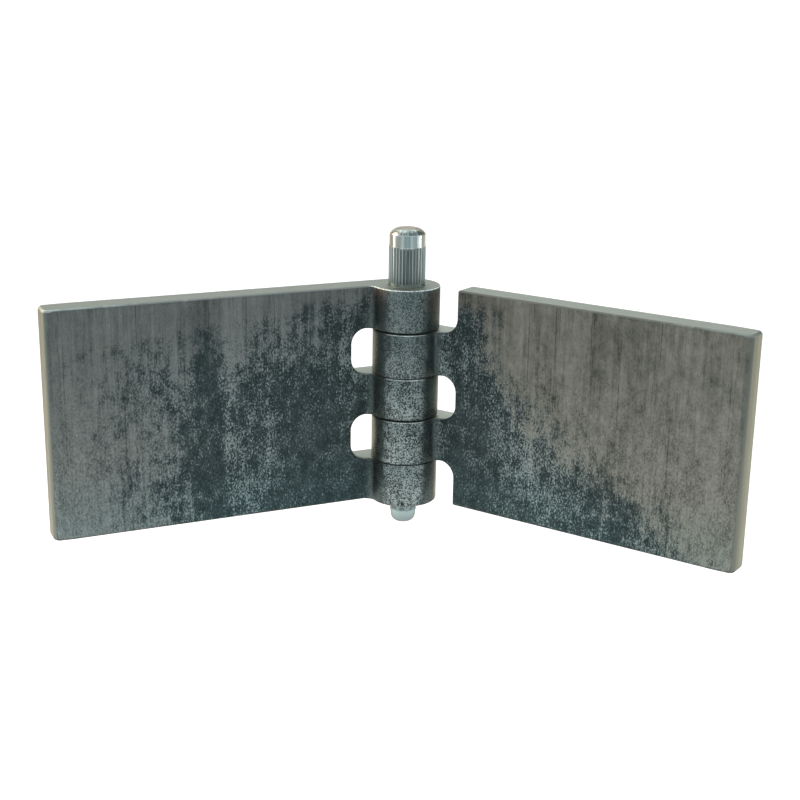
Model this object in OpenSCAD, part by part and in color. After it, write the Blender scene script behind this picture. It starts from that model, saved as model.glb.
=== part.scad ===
// Weld-on leaf hinge: two leaves of drawn steel section that turn on one knurled pin.
// The pin axis is Z, and the origin lies on it at half the height of the barrel.
// The fixed leaf runs along -X with its weld face towards +Y.
// The swinging leaf folds towards -Y.

/* [Leaves] */
// Height of both leaves and of the whole barrel
leaf_height = 50; // [40:1:100]
// Distance from the pin axis to the free end of a leaf
leaf_reach = 80; // [40:1:160]
// Thickness of the leaf plate
leaf_thickness = 6; // [4:0.5:7]
// Radius of the two drawn edges along the free end of a leaf
end_radius = 1.5; // [0.5:0.1:1.9]
// Angle between the two leaves, measured on the side they fold to
open_angle = 121; // [0:1:290]

/* [Barrel] */
// Outside diameter of the barrel
barrel_dia = 15; // [13:0.5:24]
// Number of knuckles in the barrel, with both end knuckles on the fixed leaf
knuckle_count = 5; // [3, 5, 7]
// Radius of the fillet between the plate and the barrel
root_radius = 2; // [0.5:0.1:4]
// Clear width of a window, from the barrel to the edge of the plate
window_width = 5; // [4:0.5:12]
// Radius of the two window corners in the plate
window_radius = 3.5; // [0.5:0.1:4]
// Gap under each swinging knuckle, where its weight rests
seat_gap = 0.1; // [0.05:0.05:0.3]
// Gap above each swinging knuckle
lift_gap = 0.3; // [0.1:0.05:1]

/* [Pin] */
// Diameter of the plain shank
shank_dia = 8; // [6:0.1:9]
// Radial clearance of the shank in the bore of the knuckles
running_clearance = 0.03; // [0.01:0.01:0.1]
// Length of the plain band over the knurl, with its crown
head_length = 4; // [2:0.1:10]
// Height of the domed crown on the head
crown_height = 1.35; // [0.2:0.05:1.6]
// Radius of the crown's arc, which runs into the flat top of the pin
crown_radius = 2.6; // [1.6:0.1:3]
// Length of the knurl over its collar
knurl_length = 8.2; // [4:0.1:12]
// Number of knurl teeth
knurl_teeth = 33; // [20:1:48]
// Depth of the knurl grooves
knurl_depth = 0.3; // [0.1:0.05:0.5]
// Length over which the grooves run out below the head
knurl_runout = 0.5; // [0.1:0.1:2]
// Radial bite of the knurl, by which its crests stand over the bore
knurl_bite = 0.06; // [0.02:0.01:0.1]
// Height of the plain collar under the knurl
collar_height = 0.5; // [0.2:0.1:2]
// Radial ledge of the collar, which rests on the mouth of the bore
collar_ledge = 0.04; // [0.02:0.01:0.1]
// Diameter of the tip
tip_dia = 6; // [4:0.1:6]
// Length of the tip that stands out under the barrel
tip_length = 5.8; // [4:0.1:12]
// Length of the tip inside the lowest knuckle
tip_inset = 1; // [0.5:0.1:3]
// Length of the tapered lead-in of the tip, with its rounded end
lead_length = 2.9; // [2:0.1:4]
// Radial taper of the lead-in
lead_taper = 0.2; // [0.05:0.05:0.5]
// Radius of the rounded end of the tip
tip_radius = 1.6; // [0.5:0.1:2]

/* [Hidden] */
$fn = 96;

leaf_colour = [0.33, 0.36, 0.36];
pin_colour = [0.72, 0.74, 0.74];

// Cuts run this far past the faces that they go through
overcut = 1;
// Share of a knurl tooth taken by its crest, by each flank and by its root
crest_share = 0.2;
flank_share = 0.3;

barrel_r = barrel_dia / 2;
barrel_top = leaf_height / 2;
barrel_floor = -leaf_height / 2;
knuckle_pitch = leaf_height / knuckle_count;
plate_front = barrel_r - leaf_thickness;
plate_middle = barrel_r - leaf_thickness / 2;
window_reach = barrel_r + window_width;
corner_r = min(window_radius, knuckle_pitch / 2, window_width);

shank_r = shank_dia / 2;
bore_r = shank_r + running_clearance;
crest_r = bore_r + knurl_bite;
groove_r = crest_r - knurl_depth;
core_r = groove_r - knurl_depth;
collar_r = bore_r + collar_ledge;
collar_top = barrel_top + collar_height;
knurl_top = collar_top + knurl_length;
head_top = knurl_top + head_length;
tip_r = tip_dia / 2;
tip_top = barrel_floor + tip_inset;
tip_floor = barrel_floor - tip_length;
lead_r = tip_r - lead_taper;
lead_top = tip_floor + lead_length;

// The cone of the groove run-out starts at the knurl's core and ends at the head
runout_floor = knurl_top - knurl_runout * (shank_r - core_r) / (shank_r - groove_r);

// The crown's arc is level where it meets the flat top, and its centre lies below that place
crown_floor = head_top - crown_height;
crown_width = sqrt(pow(crown_radius, 2) - pow(crown_radius - crown_height, 2));
flat_r = shank_r - crown_width;

// Centre of the root fillet, which touches the plate's front face and the outside of the barrel
fillet_y = plate_front - root_radius;
fillet_x = -sqrt(pow(barrel_r + root_radius, 2) - pow(fillet_y, 2));

// Height at which knuckle i starts, counted from the bottom
function knuckle_floor(i) = barrel_floor + i * knuckle_pitch;

// A window at either end of the barrel opens past the end of the leaf, with its outer corner
function past_end(is_end) = is_end ? corner_r + overcut : 0;

last_knuckle = knuckle_count - 1;
fixed_windows = [
    for (i = [1 : 2 : last_knuckle])
        [knuckle_floor(i) - seat_gap, knuckle_floor(i + 1) + lift_gap]
];
swing_windows = [
    for (i = [0 : 2 : last_knuckle])
        [knuckle_floor(i) - past_end(i == 0), knuckle_floor(i + 1) + past_end(i == last_knuckle)]
];

// Rectangle from the origin whose two corners at x = 0 are rounded
module round_ended(size, radius) {
    translate([radius, 0])
        square([size.x - radius, size.y]);
    translate([0, radius])
        square([radius, size.y - 2 * radius]);
    for (y = [radius, size.y - radius])
        translate([radius, y])
            circle(r = radius);
}

// Fillet between the plate's front face and the barrel
module root_fillet() {
    difference() {
        polygon([
            [0, 0],
            [0, plate_middle],
            [fillet_x, plate_middle],
            [fillet_x, fillet_y]
        ]);
        translate([fillet_x, fillet_y])
            circle(r = root_radius);
    }
}

// Drawn section of a leaf: a plate whose weld face is tangent to the back of the barrel
module leaf_section() {
    translate([-leaf_reach, plate_front])
        round_ended([leaf_reach, leaf_thickness], end_radius);
    circle(r = barrel_r);
    root_fillet();
}

// Cut that clears one knuckle of the other leaf, between two heights
module window(span) {
    rotate([90, 0, 0])
        linear_extrude(height = barrel_dia + 2 * overcut, center = true)
            translate([-window_reach, span[0]])
                round_ended([window_reach + barrel_r + overcut, span[1] - span[0]], corner_r);
}

// Leaf along -X with its weld face towards +Y
module leaf(windows) {
    difference() {
        linear_extrude(height = leaf_height, center = true)
            leaf_section();
        cylinder(r = bore_r, h = leaf_height + 2 * overcut, center = true);
        for (span = windows)
            window(span);
    }
}

module three_knuckle_leaf() {
    color(leaf_colour)
        leaf(fixed_windows);
}

module two_knuckle_leaf() {
    color(leaf_colour)
        rotate([0, 0, open_angle - 180])
            mirror([1, 0, 0])
                leaf(swing_windows);
}

// Outline of the knurl across the pin: one flat crest and one flat root for each tooth
module knurl_section() {
    pitch = 360 / knurl_teeth;
    corners = [
        [0, crest_r],
        [crest_share, crest_r],
        [crest_share + flank_share, groove_r],
        [1 - flank_share, groove_r]
    ];
    polygon([
        for (tooth = [0 : knurl_teeth - 1], corner = corners)
            let (angle = (tooth + corner[0]) * pitch)
            corner[1] * [cos(angle), sin(angle)]
    ]);
}

// Straight teeth between the collar and the head
module knurl() {
    translate([0, 0, collar_top])
        linear_extrude(height = knurl_length)
            knurl_section();
}

// Tip under the lowest knuckle, with a tapered lead-in and a rounded end
module tip() {
    end_r = min(tip_radius, lead_r);
    rotate_extrude() {
        polygon([
            [0, tip_floor + end_r],
            [lead_r, tip_floor + end_r],
            [tip_r, lead_top],
            [tip_r, tip_top],
            [0, tip_top]
        ]);
        translate([0, tip_floor])
            square([lead_r - end_r, end_r]);
        intersection() {
            translate([lead_r - end_r, tip_floor + end_r])
                circle(r = end_r);
            translate([lead_r - end_r, tip_floor])
                square(end_r);
        }
    }
}

// Turned parts of the pin: shank, collar, the core inside the knurl and the crowned head
module shank() {
    rotate_extrude() {
        polygon([
            [0, tip_top],
            [tip_r, tip_top],
            [shank_r, tip_top + shank_r - tip_r],
            [shank_r, barrel_top],
            [collar_r, barrel_top],
            [collar_r, collar_top],
            [core_r, collar_top],
            [core_r, runout_floor],
            [shank_r, knurl_top],
            [shank_r, crown_floor],
            [flat_r, crown_floor],
            [flat_r, head_top],
            [0, head_top]
        ]);
        intersection() {
            translate([flat_r, head_top - crown_radius])
                circle(r = crown_radius);
            translate([flat_r, crown_floor])
                square([crown_width, crown_height]);
        }
    }
}

module hinge_pin() {
    color(pin_colour) {
        shank();
        knurl();
        tip();
    }
}

three_knuckle_leaf();
two_knuckle_leaf();
hinge_pin();
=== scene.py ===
"""Looks of a weld-on leaf hinge: drawn steel leaves under mottled mill scale, on a bright knurled pin."""

import math
from types import SimpleNamespace

import bmesh
import bpy
from mathutils import Euler, Matrix, Vector


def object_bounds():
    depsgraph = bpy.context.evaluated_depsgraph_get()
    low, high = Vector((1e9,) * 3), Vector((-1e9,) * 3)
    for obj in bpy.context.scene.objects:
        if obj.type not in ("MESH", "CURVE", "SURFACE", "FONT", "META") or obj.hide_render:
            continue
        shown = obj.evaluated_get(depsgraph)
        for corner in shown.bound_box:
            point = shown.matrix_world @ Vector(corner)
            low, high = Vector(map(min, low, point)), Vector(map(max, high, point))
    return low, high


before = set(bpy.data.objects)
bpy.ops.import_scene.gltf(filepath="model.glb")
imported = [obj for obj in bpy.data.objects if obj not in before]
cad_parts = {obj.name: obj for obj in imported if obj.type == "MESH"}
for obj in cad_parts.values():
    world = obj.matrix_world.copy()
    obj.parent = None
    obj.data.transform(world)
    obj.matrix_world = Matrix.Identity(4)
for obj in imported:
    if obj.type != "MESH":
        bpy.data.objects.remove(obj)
cad_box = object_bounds()

# Camera, worked out from the photographed outline
CAMERA_DISTANCE = 0.3234
CAMERA_AZIMUTH = math.radians(-24.955)
CAMERA_ELEVATION = math.radians(15.981)
LOOK_AZIMUTH = math.radians(24.754)
LOOK_DOWN = math.radians(16.298)
CAMERA_ROLL = math.radians(0.932)
CAMERA_LENS = 64.03
CAMERA_NEAR = 0.01
SENSOR_WIDTH = 36

# Stage: a pale sweep that runs from a floor under the hinge up behind it, in metres
FLOOR_DROP = 0.06
SWEEP_FRONT = 1.2
SWEEP_BACK = 0.5
SWEEP_RADIUS = 0.4
SWEEP_TOP = 1.6
SWEEP_HALF_WIDTH = 1.8
SWEEP_STEPS = 24
# The paper's colours are painted light: they fall off to darker grey at the front and warm grey at the
# sides, with a painted shadow of the viewer in the middle of the front
FLOOR_COLOUR = (0.9, 0.9, 0.9)
FRONT_COLOUR = (0.50, 0.56, 0.58)
VIEWER_SHADOW_COLOUR = (0.20, 0.25, 0.27)
SIDE_COLOUR = (0.60, 0.55, 0.48)
FRONT_FADE = (0.16, 0.5)
VIEWER_SHADOW_FADE = (0.08, 0.26)
SIDE_FADE = (0.2, 0.40)
SIDE_START = (0.1, -0.05)
SIDE_SPREAD = 0.3
FLOOR_LIFT = 0.35

# Light of the room, then the lamps: name, azimuth from the camera in degrees, reach and height, width and
# height, power, colour
WORLD_COLOUR = (0.92, 0.97, 1.0, 1)
WORLD_STRENGTH = 0.72
LAMPS = (
    ("overhead", 180, (0.5, 1.0), (1.0, 1.0), 3.2, (1.0, 1.0, 1.0)),
    ("left_panel", -94, (0.3, 0.0), (0.06, 0.16), 0.16, (1.0, 0.75, 0.58)),
    ("left_window", -105, (0.35, 0.22), (0.24, 0.24), 0.66, (1.0, 0.74, 0.56)),
    ("right_panel", 91, (0.3, 0.0), (0.018, 0.16), 0.105, (1.0, 0.88, 0.78)),
)

# Sizes of the hinge that the finish follows, in millimetres
MM_PER_M = 1000
BARREL_R = 7.5
LEAF_REACH = 80.0
LEAF_HALF_HEIGHT = 25.0
END_ROUND = 1.5
WINDOW_REACH = 12.5
KNURL_LOW = 25.5
KNURL_HIGH = 33.7
KNURL_CREST_R = 4.06
CROWN_LOW = 36.35
TIP_TOP = -25.0
NECK_LOW = -27.7
TIP_LOW = -30.8

# Broken edges of the leaves, in millimetres: at the free ends' corners, along the plates and at the ends of
# the barrel. The edges between the knuckles differ from leaf to leaf.
CORNER_BREAK = 0.8
PLATE_BREAK = 0.45
BARREL_BREAK = 0.3
EDGE_SEGMENTS = 3
EDGE_ANGLE = math.radians(40)
WELD_DISTANCE = 1e-6
FLAT_ANGLE = math.radians(0.5)
END_MARGIN = 0.05
BARREL_MARGIN = 1

# Directions towards the camera and to its left. The front of the barrel is worn bright and carries a
# painted highlight, and the pin's head carries painted shade and a painted warm highlight.
UP = (0, 0, 1)
SIDEWAYS = (1, 1, 0)
CAMERA_FACING = Vector((math.sin(CAMERA_AZIMUTH), -math.cos(CAMERA_AZIMUTH), 0))
CAMERA_LEFT = Vector((-math.cos(CAMERA_AZIMUTH), -math.sin(CAMERA_AZIMUTH), 0))

# Areas of a leaf, as soft steps of radius, reach, height or facing
BARREL_FADE = (BARREL_R + 1.6, BARREL_R + 0.4)
OFF_BARREL_FADE = (BARREL_R + 0.2, BARREL_R + 0.4)
WINDOW_FADE = (WINDOW_REACH + 0.6, WINDOW_REACH + 0.4)
WINDOW_WALL_FACING = (0.25, 0.1)
LEVEL_FACING = (0.9, 0.98)
EDGE_FACING = ((0.2, 0.5), (0.97, 0.85))
LIT_FACING = (-0.1, 0.1)
END_FADE = (LEAF_REACH - END_ROUND, LEAF_REACH - 0.9)
END_FACING = (0.3, 0.9)
END_BACK_FADE = (3.0, 5.4)
RIM_FADE = (LEAF_HALF_HEIGHT - 1.0, LEAF_HALF_HEIGHT - 0.6)

# Patterns of a leaf: how they are drawn out along, through and up the leaf, then detail and roughness
WARP = ((0.09, 0.09, 0.07), 4.0, 0.6)
CLOUD = ((0.17, 0.17, 0.085), 6.0, 0.68)
BLOTCH = ((0.45, 0.45, 0.33), 4.0, 0.68)
STREAK = ((1.1, 1.1, 0.05), 4.0, 0.65)
SCRATCH = ((2.6, 2.6, 0.03), 2.0, 0.6)
GRIT = ((1.6, 1.6, 0.8), 3.0, 0.7)
PLATE_GRAIN = ((2.7, 2.7, 1.75), 2.0, 0.7)
BARREL_GRAIN = ((3.0, 3.0, 3.0), 2.0, 0.7)
SAW_LINES = ((0.4, 5.0, 5.0), 2.0, 0.5)
COLUMN_WARP = 6.0

# Mill scale: where it has worn thin, its ragged border, and the bare flecks in it
TOP_ZONE = (0.12, 1.0, 22.6)
THIN_MOVES = {"warp": 3.0, "cloud": 4.0, "column": 2.0}
BORDER_MOVES = {"blotch": 9.0, "grain": 2.5, "streak": 4.5}
BORDER_FADE = (-2.2, 2.2)
FLECK_SHARE = (0.06, 0.56)
FLECK_MOVES = {"column": 0.8, "cloud": 1.2, "blotch": 2.2, "streak": 1.4}
FLECK_START = (-0.22, 0.68)
FLECK_FADE = (-0.07, 0.17)
FLECK_STRENGTH = 0.9
FLECK_COLOUR = (0.34, 0.42, 0.415)
SCALE_TONE = 0.4
SCALE_MOVES = {"grain": 3.0, "blotch": 2.0}
SCALE_COLOURS = ((0.028, 0.042, 0.044), (0.082, 0.112, 0.114))

# Bare plate: rougher and cooler towards the foot, with drawn lines and deep scratches
ROUGH_FADE = (22.0, -18.0)
GRIT_GAINS = (0.4, 1.2)
GRAIN_GAINS = (0.6, 2.2)
LINE_MOVES = {"streak": 0.9, "column": 0.4}
SCRATCH_FADE = (0.41, 0.29)
SCRATCH_DEPTH = -0.35
COOL_FADE = (-8.0, -24.0)
COOL_TINT = (0.96, 1.06, 1.08)

# Barrel: dark specks on light steel, worn bright at the front where a painted highlight also lies, darker
# on the flanks with painted warm light at their top, and worn grey at the sides, with one pit
LOW_FADE = (16.0, -6.0)
WEAR_AND_HIGHLIGHT_MOVES = {"blotch": 0.3}
WEAR_AND_HIGHLIGHT_FADE = (0.74, 0.92)
SPECK_MOVES = {"blotch": 0.35, "streak": 0.2}
SPECK_FADE = (0.44, 0.56)
BARREL_DARK = ((0.065, 0.089, 0.089), (0.050, 0.067, 0.067))
BARREL_LIGHT = ((0.205, 0.258, 0.258), (0.355, 0.433, 0.423))
# Painted warm light at the top of the barrel's flanks, over the flanks' darker colour
WARM_LIGHT_MOVES = {"cloud": 24.0}
WARM_LIGHT_FADE = (17.0, 24.0)
FLANK_AND_WARM_LIGHT = ((0.112, 0.146, 0.145), (0.165, 0.150, 0.135))
SIDE_MOVES = {"blotch": 0.35, "grain": 0.45}
SIDE_TOP_FADE = (16.0, 14.0)
BURNISH_FADE = (0.34, 0.64)
BURNISHED = ((0.185, 0.190, 0.165), (0.345, 0.350, 0.300))
PIT = (-3.35, -6.71, -24.3)
PIT_MOVES = {"grain": 0.8}
PIT_FADE = (0.55, 0.25)
PIT_COLOUR = (0.012, 0.015, 0.016)

# Cut faces and broken edges. The edges carry painted glints, a painted highlight on the rim and the
# barrel's front, and painted shade where they face down.
CUT_COLOURS = ((0.185, 0.205, 0.18), (0.30, 0.32, 0.285))
# Painted light on the ledges of the windows
LEDGE_LIGHT_GAIN = 1.25
GLINT_SLOPE = 0.012
GLINT_FADE = (1.60, 1.95)
WORN_EDGE_AND_GLINT = ((0.23, 0.26, 0.245), (0.36, 0.425, 0.405))
HIGHLIGHT_HEIGHT_FADE = (-14.0, -6.0)
EDGE_HIGHLIGHT_MOVES = {"blotch": 0.5}
EDGE_HIGHLIGHT_FADE = (0.4, 0.6)
EDGE_HIGHLIGHT = ((0.42, 0.49, 0.48), (0.88, 0.99, 0.98))
UNDER_EDGE_SHADE = 0.45

# Gloss and fine relief of a leaf. A bump is given by strength and distance.
LEAF_ROUGHNESS = (0.36, 0.68)
LEAF_SMEAR = (0.5, 0.5)
STREAK_RELIEF = 0.5
LEAF_BUMP = (0.2, 0.00005)
LEAF_GRAZING = ((1.0, 0.93, 0.82), (0.9, 0.95, 0.92))

# Patterns of the pin: how they are drawn out along X, Y and Z, then detail and roughness
RINGS = ((0.3, 0.3, 9.0), 2.0, 0.5)
PIN_CLOUD = ((0.5, 0.5, 0.3), 3.0, 0.5)
# Painted reflection streaks down the pin and round its crown, and painted glints on the neck
REFLECTION_STREAKS = ((1.3, 1.3, 0.03), 3.0, 0.65)
NECK_GLINTS = ((1.2, 1.2, 1.6), 2.0, 0.5)
CROWN_STREAKS = ((4.5, 4.5, 0.0), 2.0, 0.5)

# Colours of the pin: its head, crown, knurl and tip, with painted light and shade on each
PIN_STEP = 0.2
HEAD_FADE = (0.36, 0.62)
HEAD_COLOURS = ((0.45, 0.56, 0.54), (0.76, 0.88, 0.85))
# Painted shade on the left of the head's band
HEAD_SHADE_FADE = (0.2, 0.42)
HEAD_SHADE = (0.80, 0.72, 0.70)
CROWN_STREAK_FADE = (0.42, 0.58)
CROWN_STREAK_TINTS = ((0.29, 0.30, 0.30), (0.70, 0.72, 0.72))
# Painted shade on the crown's right, and a painted warm highlight on its left
CROWN_SHADE_FADE = (-0.15, -0.4)
CROWN_SHADE = (0.66, 0.66, 0.66)
CROWN_WARM_HIGHLIGHT_FADE = (0.3, 0.55)
CROWN_WARM_HIGHLIGHT = (0.92, 0.80, 0.72)
CROWN_FLAT_FADE = (3.3, 2.5)
CROWN_FLAT = (0.46, 0.475, 0.475)
# Painted highlight on the ridge where the crown starts
RIDGE_HIGHLIGHT = (0.60, 0.68, 0.66)
DULL_FADE = (0.38, 0.62)
DULL_COLOURS = ((0.33, 0.385, 0.375), (0.56, 0.625, 0.605))
GROOVE_FADE = (KNURL_CREST_R - 0.02, KNURL_CREST_R - 0.2)
# Painted shade in the grooves of the knurl
GROOVE_SHADE = (0.235, 0.285, 0.275)
NECK_GLINT_FADE = (0.44, 0.56)
# Painted shade on the neck with painted glints in it; the lead-in darkens towards its end
NECK_SHADE_AND_GLINT = ((0.10, 0.135, 0.135), (0.22, 0.29, 0.285))
LEAD_COLOURS = ((0.33, 0.435, 0.43), (0.235, 0.285, 0.285))
NECK_FADE = (NECK_LOW + 0.15, NECK_LOW - 0.15)
NECK_WANDER = 1.0
PIN_GRAZING = ((0.75, 0.75, 0.72), (0.80, 0.67, 0.56))
TIP_GRAZING = (0.48, 0.45, 0.44)
PIN_ROUGHNESS = (0.14, 0.30)
PIN_SMEAR = (0.6, 0.4)
KNURL_ROUGHNESS = 0.12
PIN_BUMP = (0.06, 0.00002)

# What differs between the leaves:
# along and back point from the pin axis to the free end, and out of the weld face
# bare_colours are the dark and the light tone of bare steel
# end_colours are the front and the back tone of the free end
# tone_and_sheen is the plane that moves bare steel between its tones; its slopes are a painted sheen that
# lightens it towards the foot, and on the swinging leaf also towards the free end
# mottle is how far clouds and blotches move it
# zone holds the planes beyond which the scale has worn thin, and join says how they meet
# columns is how much scale the drawing has rubbed off, as distance from the pin axis and share
# side_band is how far round the barrel its worn sides reach
# shine scales the cut faces and the edges
# seam_break is how far the edges between the knuckles are broken, in millimetres
OPEN_ANGLE = math.radians(121)
SWING = OPEN_ANGLE - math.pi
FIXED_LEAF = SimpleNamespace(
    node="three_knuckle_leaf",
    material="fixed_leaf_steel",
    along=Vector((-1, 0, 0)),
    back=Vector((0, 1, 0)),
    bare_colours=((0.074, 0.089, 0.086), (0.260, 0.291, 0.279)),
    end_colours=((0.215, 0.245, 0.22), (0.215, 0.245, 0.22)),
    tone_and_sheen=(0.0, -0.005, -0.5),
    mottle={"cloud": 0.3, "blotch": 0.6},
    join="MAXIMUM",
    zone=((0.16, 0.0, 9.5), (0.05, 0.2, 5.0)),
    columns=((10, 0.3), (13, 0.75), (17, 0.45), (26, 0.45), (34, 0.65),
             (42, 0.78), (43, 0.25), (49, 0.25), (53, 0.6), (64, 0.55)),
    side_band=(0.38, 0.24),
    shine=(1.0, 1.2),
    seam_break=0.36,
)
SWING_LEAF = SimpleNamespace(
    node="two_knuckle_leaf",
    material="swing_leaf_steel",
    along=Vector((math.cos(SWING), math.sin(SWING), 0)),
    back=Vector((-math.sin(SWING), math.cos(SWING), 0)),
    bare_colours=((0.066, 0.070, 0.061), (0.275, 0.284, 0.252)),
    end_colours=((0.20, 0.215, 0.185), (0.28, 0.305, 0.255)),
    tone_and_sheen=(0.003, -0.004, -0.37),
    mottle={"cloud": 0.8, "blotch": 1.2},
    join="MINIMUM",
    zone=((0.36, 0.2, 10.7), (0.17, 0.25, 5.7)),
    columns=((10, 0.9), (13, 0.45), (16, 0.7), (19, 0.5), (26, 0.85),
             (36, 0.75), (45, 0.7), (51, 0.35), (58, 0.4), (59, 0.6)),
    side_band=(0.52, 0.40),
    shine=(1.17, 0.75),
    seam_break=0.25,
)


class Shader:
    """One node material, with short ways to add its nodes."""

    def __init__(self, name):
        self.material = bpy.data.materials.new(name)
        self.material.use_nodes = True
        self.tree = self.material.node_tree
        self.tree.nodes.clear()

    def add(self, kind, inputs=None, **settings):
        """Adds a node; inputs maps socket names or numbers to values or to other nodes' outputs."""
        node = self.tree.nodes.new("ShaderNode" + kind)
        for key, value in settings.items():
            setattr(node, key, value)
        for key, value in (inputs or {}).items():
            if isinstance(value, bpy.types.NodeSocket):
                self.tree.links.new(value, node.inputs[key])
            else:
                node.inputs[key].default_value = value
        return node

    def math(self, operation, *values):
        return self.add("Math", dict(enumerate(values)), operation=operation).outputs[0]

    def product(self, first, *others):
        for other in others:
            first = self.math("MULTIPLY", first, other)
        return first

    def inverse(self, share):
        return self.math("SUBTRACT", 1.0, share)

    def smooth(self, value, low, high):
        """0 below low, 1 above high and a soft step between them; falls instead if low is above high."""
        inputs = {"Value": value, "From Min": low, "From Max": high}
        return self.add("MapRange", inputs, interpolation_type="SMOOTHSTEP").outputs[0]

    def scale_range(self, value, low, high):
        """A value from 0 to 1 moved to the range from low to high."""
        return self.add("MapRange", {"Value": value, "To Min": low, "To Max": high}).outputs[0]

    def dot(self, vector, direction):
        inputs = {0: vector, 1: tuple(direction)}
        return self.add("VectorMath", inputs, operation="DOT_PRODUCT").outputs["Value"]

    def length(self, vector):
        return self.add("VectorMath", {0: vector}, operation="LENGTH").outputs["Value"]

    def stretch(self, vector, factors):
        return self.add("VectorMath", {0: vector, 1: factors}, operation="MULTIPLY").outputs[0]

    def gain(self, colour, factor):
        return self.stretch(colour, (factor,) * 3)

    def pattern(self, vector, factors, detail, roughness):
        """Noise that is drawn out by the given factors."""
        inputs = {
            "Vector": self.stretch(vector, factors),
            "Scale": 1.0,
            "Detail": detail,
            "Roughness": roughness,
            "Distortion": 0.0,
        }
        return self.add("TexNoise", inputs).outputs[0]

    def blend(self, share, first, second):
        """One number mixed into another."""
        return self.add("Mix", {0: share, 2: first, 3: second}, data_type="FLOAT").outputs[0]

    def mix(self, share, first, second):
        """One colour mixed into another; written colours have red, green and blue."""
        first, second = [(*c, 1) if isinstance(c, tuple) else c for c in (first, second)]
        return self.add("Mix", data_type="RGBA", inputs={0: share, 6: first, 7: second}).outputs[2]

    def offset(self, value, noise, gain):
        """A value moved up or down by the swing of a noise or share about its middle."""
        return self.math("MULTIPLY_ADD", self.math("SUBTRACT", noise, 0.5), gain, value)

    def plane(self, u, z, slopes):
        """A value that rises along the leaf and upwards at the given rates, less its start."""
        by_along, by_height, start = slopes
        return self.math("MULTIPLY_ADD", u, by_along, self.math("MULTIPLY_ADD", z, by_height, -start))

    def steps(self, value, stops):
        """A hand-drawn curve over 0 to 1 through the given stops."""
        node = self.add("ValToRGB", {0: value})
        ramp = node.color_ramp
        while len(ramp.elements) < len(stops):
            ramp.elements.new(1.0)
        for element, (position, level) in zip(ramp.elements, stops):
            element.position = position
            element.color = (level, level, level, 1)
        return node.outputs[0]

    def smear(self, first, second, gains, limits):
        """Roughness that follows two patterns."""
        both = self.math("MULTIPLY_ADD", first, gains[0], self.math("MULTIPLY", second, gains[1]))
        return self.scale_range(both, *limits)

    def finish(self, shader):
        self.add("OutputMaterial", {"Surface": shader})
        return self.material

    def finish_steel(self, colour, roughness, grazing, height, bump):
        """Metal with fine relief, tinted where it is seen at grazing angles."""
        strength, distance = bump
        relief = self.add("Bump", {"Strength": strength, "Distance": distance, "Height": height})
        steel = self.add("BsdfPrincipled", {
            "Base Color": colour,
            "Metallic": 1.0,
            "Roughness": roughness,
            "Specular Tint": grazing,
            "Normal": relief.outputs[0],
        })
        return self.finish(steel.outputs[0])


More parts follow.
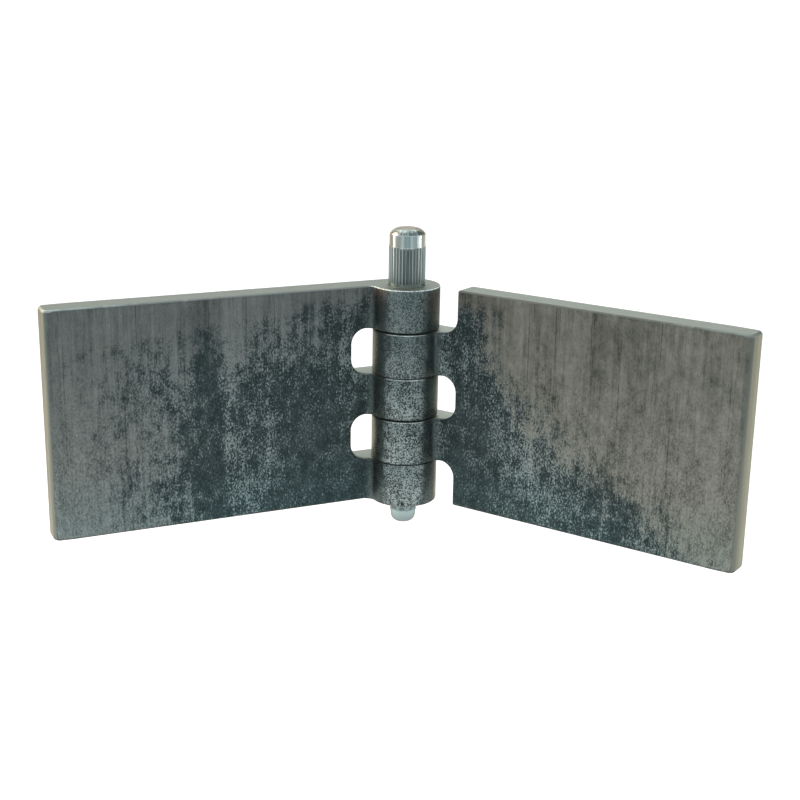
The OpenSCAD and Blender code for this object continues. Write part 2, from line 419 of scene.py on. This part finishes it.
class LeafSteel(Shader):
    """Drawn steel under mottled mill scale, on one leaf."""

    def __init__(self, leaf):
        super().__init__(leaf.material)
        self.leaf = leaf
        self.find_place()
        self.find_areas()
        self.find_patterns()
        # Front of the barrel, facing the camera: worn bright, with a painted highlight
        self.wear_and_highlight = self.smooth(self.moved(self.facing_front, WEAR_AND_HIGHLIGHT_MOVES), *WEAR_AND_HIGHLIGHT_FADE)

    def find_place(self):
        """Where a point lies on the leaf, in millimetres, and which way it faces."""
        coord = self.add("TexCoord")
        self.place = self.gain(coord.outputs["Object"], MM_PER_M)
        self.normal = coord.outputs["Normal"]
        self.u = self.dot(self.place, self.leaf.along)
        self.v = self.dot(self.place, self.leaf.back)
        self.z = self.dot(self.place, UP)
        self.flat = self.add("CombineXYZ", {0: self.u, 1: self.v, 2: self.z}).outputs[0]
        self.radius = self.length(self.stretch(self.flat, SIDEWAYS))
        self.upward = self.dot(self.normal, UP)
        self.facing_front = self.math("DIVIDE", self.dot(self.place, CAMERA_FACING), self.radius)

    def find_areas(self):
        """Shares by which the surface is barrel, window, cut face, broken edge, free end or top rim."""
        facing_up = self.math("ABSOLUTE", self.upward)
        facing_along = self.math("ABSOLUTE", self.dot(self.normal, self.leaf.along))
        facing_back = self.math("ABSOLUTE", self.dot(self.normal, self.leaf.back))
        self.barrel = self.smooth(self.radius, *BARREL_FADE)
        self.off_barrel = self.smooth(self.radius, *OFF_BARREL_FADE)
        self.inner = self.smooth(self.u, *WINDOW_FADE)
        upright = self.smooth(facing_back, *WINDOW_WALL_FACING)
        window_wall = self.product(upright, self.inner, self.off_barrel)
        self.cut = self.math("MAXIMUM", self.smooth(facing_up, *LEVEL_FACING), window_wall)
        tilted = self.product(*[self.smooth(facing_up, *span) for span in EDGE_FACING])
        self.edge = self.product(tilted, self.inverse(window_wall))
        at_end = self.smooth(self.u, *END_FADE)
        self.free_end = self.product(at_end, self.smooth(facing_along, *END_FACING))
        self.rim = self.smooth(self.z, *RIM_FADE)
        self.lit = self.smooth(self.upward, *LIT_FACING)

    def find_patterns(self):
        """Cloudy patches and blotches, columns and streaks along the drawing direction, and grain."""
        grains = [self.pattern(self.flat, *grain) for grain in (PLATE_GRAIN, BARREL_GRAIN)]
        self.patterns = {
            "warp": self.pattern(self.flat, *WARP),
            "cloud": self.pattern(self.flat, *CLOUD),
            "blotch": self.pattern(self.flat, *BLOTCH),
            "streak": self.pattern(self.flat, *STREAK),
            "scratch": self.pattern(self.flat, *SCRATCH),
            "grit": self.pattern(self.flat, *GRIT),
            "grain": self.blend(self.barrel, *grains),
        }
        ragged = self.offset(self.u, self.patterns["warp"], COLUMN_WARP)
        stops = [(reach / LEAF_REACH, share) for reach, share in self.leaf.columns]
        self.patterns["column"] = self.steps(self.math("DIVIDE", ragged, LEAF_REACH), stops)

    def moved(self, value, moves):
        """A value moved by some of the patterns, each with its own gain."""
        for name, gain in moves.items():
            value = self.offset(value, self.patterns[name], gain)
        return value

    def scale_colour(self, thin):
        """Dark scale, with bare flecks that gather near its border and thin out in the deep scale."""
        share = self.moved(self.math("MULTIPLY_ADD", thin, *FLECK_SHARE), FLECK_MOVES)
        start = self.math("MULTIPLY_ADD", share, *FLECK_START)
        fleck = self.smooth(self.math("SUBTRACT", self.patterns["grain"], start), *FLECK_FADE)
        scale = self.mix(self.moved(SCALE_TONE, SCALE_MOVES), *SCALE_COLOURS)
        return self.mix(self.math("MULTIPLY", fleck, FLECK_STRENGTH), scale, FLECK_COLOUR)

    def bare_colour(self):
        """Grey drawn steel, with a painted sheen that lightens it towards the foot of the leaf."""
        rough = self.smooth(self.z, *ROUGH_FADE)
        tone = self.moved(self.plane(self.u, self.z, self.leaf.tone_and_sheen), self.leaf.mottle)
        tone = self.offset(tone, self.patterns["grit"], self.blend(rough, *GRIT_GAINS))
        tone = self.offset(tone, self.patterns["grain"], self.blend(rough, *GRAIN_GAINS))
        tone = self.moved(tone, LINE_MOVES)
        scratched = self.smooth(self.patterns["scratch"], *SCRATCH_FADE)
        tone = self.math("MULTIPLY_ADD", scratched, SCRATCH_DEPTH, tone)
        return self.mix(tone, *self.leaf.bare_colours)

    def plate_colour(self):
        """Scale that has worn off to bare steel beyond a ragged border."""
        planes = [self.plane(self.u, self.z, plane) for plane in self.leaf.zone]
        thin = self.math(self.leaf.join, *planes)
        thin = self.math("MAXIMUM", thin, self.plane(self.u, self.z, TOP_ZONE))
        thin = self.moved(thin, THIN_MOVES)
        border = self.moved(thin, BORDER_MOVES)
        worn = self.product(self.smooth(border, *BORDER_FADE), self.inverse(self.barrel))
        plate = self.mix(worn, self.scale_colour(thin), self.bare_colour())
        return self.mix(self.smooth(self.z, *COOL_FADE), plate, self.stretch(plate, COOL_TINT))

    def barrel_colour(self):
        """Dark specks on steel that is worn bright at the front of the barrel, where a painted highlight
        also lies, with painted warm light at the top of its flanks.
        """
        low = self.smooth(self.z, *LOW_FADE)
        # Painted warm light at the top of the flanks
        warm_light = self.smooth(self.moved(self.z, WARM_LIGHT_MOVES), *WARM_LIGHT_FADE)
        light = self.mix(self.wear_and_highlight, self.mix(warm_light, *FLANK_AND_WARM_LIGHT), self.mix(low, *BARREL_LIGHT))
        speck = self.smooth(self.moved(self.patterns["grain"], SPECK_MOVES), *SPECK_FADE)
        return self.mix(speck, self.mix(low, *BARREL_DARK), light)

    def skin_colour(self):
        """Plate and barrel together, with the barrel's worn sides and the pit low on it."""
        skin = self.mix(self.barrel, self.plate_colour(), self.barrel_colour())
        turned = self.moved(self.math("ABSOLUTE", self.facing_front), SIDE_MOVES)
        side = self.product(
            self.smooth(turned, *self.leaf.side_band),
            self.smooth(self.z, *SIDE_TOP_FADE),
            self.inverse(self.off_barrel),
        )
        burnished = self.mix(self.smooth(self.patterns["streak"], *BURNISH_FADE), *BURNISHED)
        skin = self.mix(side, skin, burnished)
        from_pit = self.add("VectorMath", {0: self.place, 1: PIT}, operation="DISTANCE").outputs["Value"]
        pit = self.smooth(self.moved(from_pit, PIT_MOVES), *PIT_FADE)
        return self.mix(pit, skin, PIT_COLOUR)

    def cut_colour(self):
        """Sawn and milled faces, with painted light on the ledges of the windows."""
        cut = self.mix(self.pattern(self.flat, *SAW_LINES), *CUT_COLOURS)
        cut = self.gain(cut, self.leaf.shine[0])
        ledge = self.product(self.inner, self.inverse(self.rim))
        return self.mix(ledge, cut, self.gain(cut, LEDGE_LIGHT_GAIN))

    def edge_colour(self, skin):
        """Broken edges: worn with painted glints along the plates, a painted highlight on the barrel's
        front and its rim, and painted shade where they face down.
        """
        patches = self.math("ADD", self.patterns["cloud"], self.patterns["blotch"])
        glint = self.smooth(self.math("MULTIPLY_ADD", self.u, GLINT_SLOPE, patches), *GLINT_FADE)
        worn = self.gain(self.mix(glint, *WORN_EDGE_AND_GLINT), self.leaf.shine[1])
        highlighted = self.product(self.lit, self.wear_and_highlight, self.smooth(self.z, *HIGHLIGHT_HEIGHT_FADE))
        # Painted highlight on the rim and on the up-facing edges of the barrel's front
        gleam = self.smooth(self.moved(self.patterns["grain"], EDGE_HIGHLIGHT_MOVES), *EDGE_HIGHLIGHT_FADE)
        bright = self.mix(gleam, *EDGE_HIGHLIGHT)
        bright = self.mix(self.math("MAXIMUM", highlighted, self.rim), skin, bright)
        edge = self.mix(self.barrel, worn, bright)
        # Painted shade on the edges that face down
        return self.mix(self.lit, self.gain(skin, UNDER_EDGE_SHADE), edge)

    def build(self):
        skin = self.skin_colour()
        end = self.mix(self.smooth(self.v, *END_BACK_FADE), *self.leaf.end_colours)
        colour = self.mix(self.free_end, skin, end)
        colour = self.mix(self.cut, colour, self.cut_colour())
        colour = self.mix(self.edge, colour, self.edge_colour(skin))
        roughness = self.smear(self.patterns["cloud"], self.patterns["grain"], LEAF_SMEAR, LEAF_ROUGHNESS)
        height = self.math("MULTIPLY_ADD", self.patterns["streak"], STREAK_RELIEF, self.patterns["grain"])
        grazing = self.mix(self.cut, *LEAF_GRAZING)
        return self.finish_steel(colour, roughness, grazing, height, LEAF_BUMP)


class PinSteel(Shader):
    """Bright turned steel with fine rings and painted reflection streaks, painted shade in the grooves of
    the knurl, and warm at grazing angles.
    """

    def __init__(self):
        super().__init__("pin_bright_steel")
        self.place = self.gain(self.add("TexCoord").outputs["Object"], MM_PER_M)
        self.z = self.dot(self.place, UP)
        outward = self.stretch(self.place, SIDEWAYS)
        self.radius = self.length(outward)
        self.around = self.add("VectorMath", {0: outward}, operation="NORMALIZE").outputs["Vector"]
        self.facing_left = self.dot(self.around, CAMERA_LEFT)
        # Painted reflection streaks down the pin
        self.lines = self.pattern(self.place, *REFLECTION_STREAKS)

    def crown_colour(self, bright):
        """Painted reflection streaks round the dome, painted shade on the right and a painted warm
        highlight on the left, about a plain flat top.
        """
        streaks = self.smooth(self.pattern(self.around, *CROWN_STREAKS), *CROWN_STREAK_FADE)
        crown = self.mix(streaks, *[self.stretch(bright, tint) for tint in CROWN_STREAK_TINTS])
        shaded = self.smooth(self.facing_left, *CROWN_SHADE_FADE)
        crown = self.mix(shaded, crown, self.stretch(crown, CROWN_SHADE))
        warm = self.smooth(self.facing_left, *CROWN_WARM_HIGHLIGHT_FADE)
        crown = self.mix(warm, crown, self.stretch(bright, CROWN_WARM_HIGHLIGHT))
        flat = self.smooth(self.radius, *CROWN_FLAT_FADE)
        return self.mix(flat, crown, self.stretch(bright, CROWN_FLAT))

    def head_colour(self):
        """Bright band with painted shade on its left, under the crown, and a painted highlight on the ridge
        where the crown starts.
        """
        bright = self.mix(self.smooth(self.lines, *HEAD_FADE), *HEAD_COLOURS)
        crown = self.crown_colour(bright)
        shaded_left = self.smooth(self.facing_left, *HEAD_SHADE_FADE)
        band = self.mix(shaded_left, bright, self.stretch(bright, HEAD_SHADE))
        head = self.mix(self.smooth(self.z, CROWN_LOW, CROWN_LOW + PIN_STEP), band, crown)
        rising = self.smooth(self.z, CROWN_LOW - PIN_STEP, CROWN_LOW)
        falling = self.smooth(self.z, CROWN_LOW + PIN_STEP, CROWN_LOW)
        return self.mix(self.product(rising, falling), head, RIDGE_HIGHLIGHT)

    def tip_colour(self):
        """Neck in painted shade with painted glints, over the lighter lead-in, which darkens towards its
        end.
        """
        glints = self.pattern(self.place, *NECK_GLINTS)
        neck = self.mix(self.smooth(glints, *NECK_GLINT_FADE), *NECK_SHADE_AND_GLINT)
        lead = self.mix(self.smooth(self.z, NECK_LOW, TIP_LOW), *LEAD_COLOURS)
        return self.mix(self.smooth(self.offset(self.z, glints, NECK_WANDER), *NECK_FADE), neck, lead)

    def build(self):
        rising = self.smooth(self.z, KNURL_LOW, KNURL_LOW + PIN_STEP)
        falling = self.smooth(self.z, KNURL_HIGH + PIN_STEP, KNURL_HIGH)
        knurl = self.product(rising, falling)
        groove_shade = self.product(knurl, self.smooth(self.radius, *GROOVE_FADE))
        head = self.smooth(self.z, KNURL_HIGH - PIN_STEP, KNURL_HIGH)
        tip = self.smooth(self.z, TIP_TOP, TIP_TOP - PIN_STEP)
        dull = self.mix(self.smooth(self.lines, *DULL_FADE), *DULL_COLOURS)
        colour = self.mix(head, dull, self.head_colour())
        colour = self.mix(groove_shade, colour, GROOVE_SHADE)
        colour = self.mix(tip, colour, self.tip_colour())
        grazing = self.mix(tip, self.mix(head, *PIN_GRAZING), TIP_GRAZING)
        rings = self.pattern(self.place, *RINGS)
        smear = self.smear(rings, self.pattern(self.place, *PIN_CLOUD), PIN_SMEAR, PIN_ROUGHNESS)
        roughness = self.math("MULTIPLY_ADD", knurl, KNURL_ROUGHNESS, smear)
        return self.finish_steel(colour, roughness, grazing, rings, PIN_BUMP)


def edge_weights(seam_break):
    """Node group that marks how far each sharp edge of a leaf is broken."""
    tree = bpy.data.node_groups.new("edge_weights", "GeometryNodeTree")
    tree.interface.new_socket("Geometry", in_out="INPUT", socket_type="NodeSocketGeometry")
    tree.interface.new_socket("Geometry", in_out="OUTPUT", socket_type="NodeSocketGeometry")

    def add(kind, *values, **settings):
        node = tree.nodes.new(kind)
        for key, value in settings.items():
            setattr(node, key, value)
        for number, value in enumerate(values):
            if isinstance(value, bpy.types.NodeSocket):
                tree.links.new(value, node.inputs[number])
            else:
                node.inputs[number].default_value = value
        return node

    def calc(operation, *values):
        return add("ShaderNodeMath", *values, operation=operation).outputs[0]

    x, y, z = add("ShaderNodeSeparateXYZ", add("GeometryNodeInputPosition").outputs[0]).outputs
    radius = calc("SQRT", calc("ADD", calc("MULTIPLY", x, x), calc("MULTIPLY", y, y)))
    at_end = calc("GREATER_THAN", calc("ABSOLUTE", z), (LEAF_HALF_HEIGHT - END_MARGIN) / MM_PER_M)
    on_barrel = calc("LESS_THAN", radius, (BARREL_R + BARREL_MARGIN) / MM_PER_M)
    at_corner = calc("GREATER_THAN", radius, (LEAF_REACH - END_ROUND) / MM_PER_M)
    sharp = calc("GREATER_THAN", add("GeometryNodeInputMeshEdgeAngle").outputs[0], EDGE_ANGLE)
    outer = calc("MULTIPLY_ADD", on_barrel, BARREL_BREAK - PLATE_BREAK, PLATE_BREAK)
    outer = calc("MULTIPLY_ADD", at_corner, CORNER_BREAK - PLATE_BREAK, outer)
    size = calc("MULTIPLY_ADD", at_end, calc("SUBTRACT", outer, seam_break), seam_break)
    weight = calc("MULTIPLY", sharp, calc("DIVIDE", size, CORNER_BREAK))

    source = tree.nodes.new("NodeGroupInput")
    store = tree.nodes.new("GeometryNodeStoreNamedAttribute")
    store.data_type = "FLOAT"
    store.domain = "EDGE"
    store.inputs["Name"].default_value = "bevel_weight_edge"
    target = tree.nodes.new("NodeGroupOutput")
    tree.links.new(source.outputs[0], store.inputs["Geometry"])
    tree.links.new(weight, store.inputs["Value"])
    tree.links.new(store.outputs[0], target.inputs[0])
    return tree


def dress(node, material):
    """Gives a CAD node its finish."""
    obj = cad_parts[node]
    for slot in obj.material_slots:
        slot.material = material
    return obj


def break_edges(obj, seam_break):
    """Welds the faces of a leaf and rounds its sawn and milled edges."""
    weld = obj.modifiers.new("weld", "WELD")
    weld.merge_threshold = WELD_DISTANCE
    flats = obj.modifiers.new("flats", "DECIMATE")
    flats.decimate_type = "DISSOLVE"
    flats.angle_limit = FLAT_ANGLE
    marks = obj.modifiers.new("edge_weights", "NODES")
    marks.node_group = edge_weights(seam_break)
    bevel = obj.modifiers.new("edge_break", "BEVEL")
    bevel.width = CORNER_BREAK / MM_PER_M
    bevel.segments = EDGE_SEGMENTS
    bevel.limit_method = "WEIGHT"
    bevel.use_clamp_overlap = False
    bevel.harden_normals = True


def sweep_paper():
    """Pale paper with a painted fall-off of light, darker towards the viewer's side and warm grey at the
    sides, with a painted shadow of the viewer in the middle; it is lifted to white where it is seen.
    """
    s = Shader("sweep_paper")
    paths = s.add("LightPath").outputs
    seen = s.math("MAXIMUM", paths["Is Glossy Ray"], paths["Is Transmission Ray"])
    seen = s.math("MAXIMUM", paths["Is Camera Ray"], seen)
    place = s.add("TexCoord").outputs["Object"]
    ahead = s.dot(place, (0, -1, 0))
    across = s.math("ABSOLUTE", s.dot(place, (1, 0, 0)))
    aside = s.math("MULTIPLY_ADD", ahead, SIDE_SPREAD, across)
    front = s.smooth(ahead, *FRONT_FADE)
    side = s.product(s.smooth(aside, *SIDE_FADE), s.smooth(ahead, *SIDE_START))
    viewer_side = s.mix(s.smooth(across, *VIEWER_SHADOW_FADE), VIEWER_SHADOW_COLOUR, FRONT_COLOUR)
    shade = s.mix(side, s.mix(front, FLOOR_COLOUR, viewer_side), SIDE_COLOUR)
    paper = s.add("BsdfDiffuse", {"Color": shade})
    lift = s.product(seen, s.scale_range(s.math("MAXIMUM", front, side), FLOOR_LIFT, 0.0))
    glow = s.add("Emission", {"Color": (1, 1, 1, 1), "Strength": lift})
    both = s.add("AddShader", {0: paper.outputs[0], 1: glow.outputs[0]})
    return s.finish(both.outputs[0])


def stage_sweep():
    """Floor that curves up into the backdrop, turned to face the camera."""
    lowest = cad_box[0].z - FLOOR_DROP
    profile = [(-SWEEP_FRONT, lowest), (SWEEP_BACK, lowest)]
    for step in range(1, SWEEP_STEPS + 1):
        angle = math.pi / 2 * step / SWEEP_STEPS
        y = SWEEP_BACK + SWEEP_RADIUS * math.sin(angle)
        profile.append((y, lowest + SWEEP_RADIUS * (1 - math.cos(angle))))
    profile.append((SWEEP_BACK + SWEEP_RADIUS, lowest + SWEEP_TOP))
    bm = bmesh.new()
    rows = [[bm.verts.new((x, y, z)) for x in (-SWEEP_HALF_WIDTH, SWEEP_HALF_WIDTH)] for y, z in profile]
    for (a, b), (c, d) in zip(rows, rows[1:]):
        bm.faces.new((a, b, d, c)).smooth = True
    mesh = bpy.data.meshes.new("sweep")
    bm.to_mesh(mesh)
    bm.free()
    mesh.materials.append(sweep_paper())
    sweep = bpy.data.objects.new("sweep", mesh)
    sweep.rotation_euler.z = CAMERA_AZIMUTH
    bpy.context.scene.collection.objects.link(sweep)


def area_light(name, azimuth, centre, size, power, colour):
    """Soft lamp aimed at the pin axis."""
    lamp = bpy.data.lights.new(name, "AREA")
    lamp.shape = "RECTANGLE"
    lamp.size, lamp.size_y = size
    lamp.energy = power
    lamp.color = colour
    obj = bpy.data.objects.new(name, lamp)
    turn = CAMERA_AZIMUTH + math.radians(azimuth)
    reach, height = centre
    obj.location = (reach * math.sin(turn), -reach * math.cos(turn), height)
    obj.rotation_euler = Vector(obj.location).to_track_quat("Z", "Y").to_euler()
    obj.visible_camera = False
    bpy.context.scene.collection.objects.link(obj)


def studio_light():
    """Even light of the room, and the lamps."""
    world = bpy.data.worlds.new("studio")
    world.use_nodes = True
    background = world.node_tree.nodes["Background"]
    background.inputs["Color"].default_value = WORLD_COLOUR
    background.inputs["Strength"].default_value = WORLD_STRENGTH
    bpy.context.scene.world = world
    for lamp in LAMPS:
        area_light(*lamp)


def photo_camera():
    """Camera at the photograph's place."""
    camera = bpy.data.cameras.new("photo_camera")
    camera.lens = CAMERA_LENS
    camera.sensor_width = SENSOR_WIDTH
    camera.clip_start = CAMERA_NEAR
    obj = bpy.data.objects.new("photo_camera", camera)
    level = CAMERA_DISTANCE * math.cos(CAMERA_ELEVATION)
    place = Vector((
        level * math.sin(CAMERA_AZIMUTH),
        -level * math.cos(CAMERA_AZIMUTH),
        CAMERA_DISTANCE * math.sin(CAMERA_ELEVATION),
    ))
    aim = Euler((math.pi / 2 - LOOK_DOWN, 0, -LOOK_AZIMUTH)).to_matrix().to_4x4()
    obj.matrix_world = Matrix.Translation(place) @ aim @ Matrix.Rotation(CAMERA_ROLL, 4, "Z")
    bpy.context.scene.collection.objects.link(obj)
    bpy.context.scene.camera = obj


for leaf in (FIXED_LEAF, SWING_LEAF):
    break_edges(dress(leaf.node, LeafSteel(leaf).build()), leaf.seam_break)
dress("hinge_pin", PinSteel().build())
stage_sweep()
studio_light()
photo_camera()
bpy.context.scene.view_settings.view_transform = "Standard"
